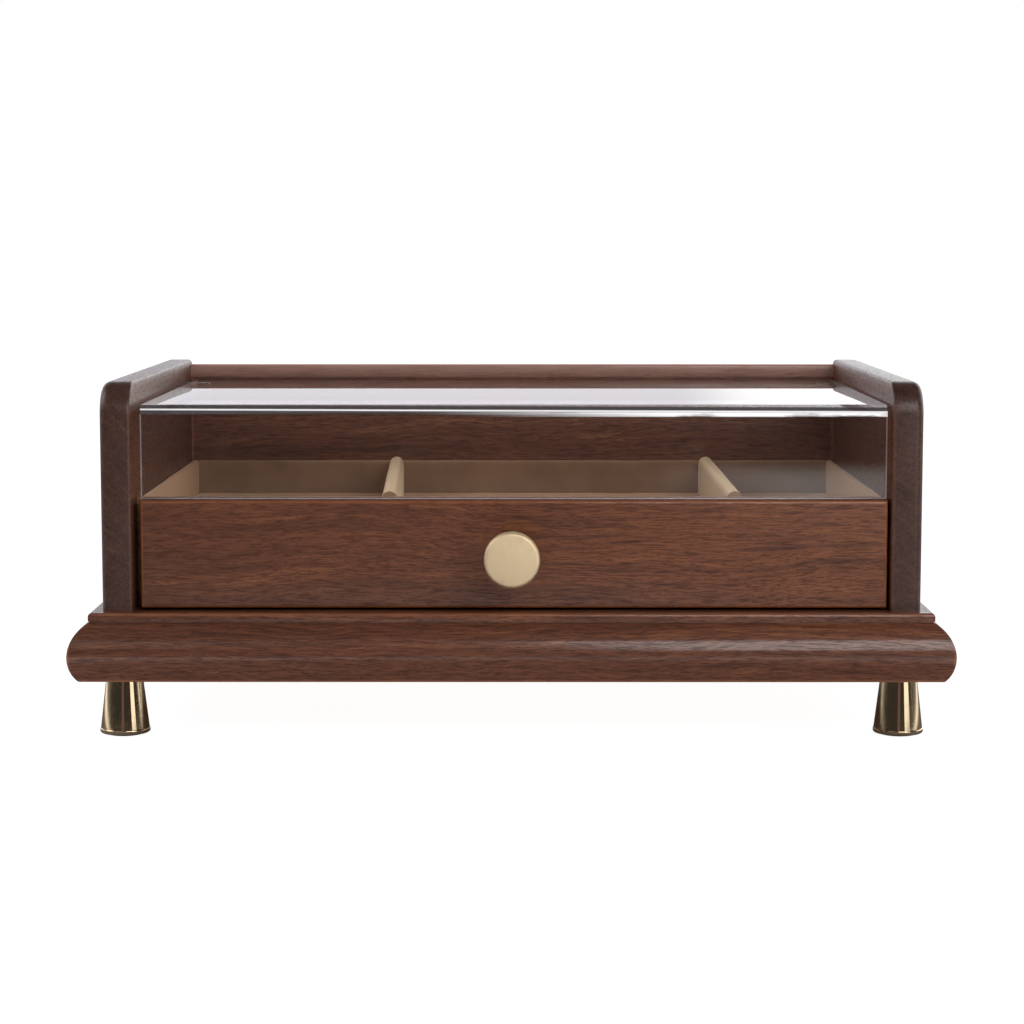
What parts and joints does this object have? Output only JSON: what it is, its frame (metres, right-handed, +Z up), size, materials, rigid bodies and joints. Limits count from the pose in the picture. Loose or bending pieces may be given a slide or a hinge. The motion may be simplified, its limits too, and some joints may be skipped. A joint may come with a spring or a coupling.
{
  "type": "jewelry box",
  "caption": "Walnut jewelry box with a bent clear lid over a divided velvet tray, a shallow drawer with a round brass knob, and a moulded base on brass feet.",
  "frame": {"origin": "on the floor, under the middle of the box with its knob", "axes": "+Z up; the drawer opens towards -Y; +X is to the right of someone who faces the drawer"},
  "size_m": [0.3, 0.203, 0.121],
  "materials": {
    "case_walnut": "satin lacquered walnut",
    "drawer_walnut": "satin lacquered walnut, warmer in tone",
    "inner_wood": "sanded, thin matt lacquer",
    "brass": "turned and polished",
    "steel": "plain",
    "velvet": "short tan velvet",
    "felt": "pressed felt",
    "clear_acrylic": "clear, polished",
    "glide_plastic": "smooth low-friction strip"
  },
  "bodies": {
    "case": {"front_moulding": "case_walnut", "right_moulding": "case_walnut", "back_moulding": "case_walnut", "left_moulding": "case_walnut", "base_board": "inner_wood", "front_feet": "brass", "rear_feet": "brass", "foot_pads": "felt", "foot_bolts": "steel", "left_side_panel": "case_walnut", "right_side_panel": "case_walnut", "back_panel": "case_walnut", "panel_dowels": "inner_wood", "left_tray_cleat": "inner_wood", "right_tray_cleat": "inner_wood", "tray_shelf": "inner_wood", "tray_front_board": "inner_wood", "tray_floor_pad": "velvet", "tray_left_lining": "velvet", "tray_right_lining": "velvet", "tray_front_lining": "velvet", "tray_back_lining": "velvet", "left_tray_divider": "velvet", "right_tray_divider": "velvet", "left_lid_pin": "steel", "right_lid_pin": "steel", "left_drawer_glide": "glide_plastic", "right_drawer_glide": "glide_plastic", "drawer_stop_strip": "inner_wood", "drawer_bumpers": "felt"},
    "lid": {"lid_cover": "clear_acrylic"},
    "drawer": {"drawer_front": "drawer_walnut", "drawer_left_side": "inner_wood", "drawer_right_side": "inner_wood", "drawer_back": "inner_wood", "drawer_bottom": "inner_wood", "drawer_floor_pad": "velvet", "drawer_knob": "brass", "knob_screw": "steel"}
  },
  "joints": [
    {"name": "lid_hinge", "type": "hinge", "parent": "case", "child": "lid", "pos_m": [0, 0.0769, 0.1118], "axis": [-1, 0, 0], "range_deg": [0, 104]},
    {"name": "drawer_slide", "type": "slide", "parent": "case", "child": "drawer", "axis": [0, -1, 0], "range_m": [0, 0.133]}
  ]
}
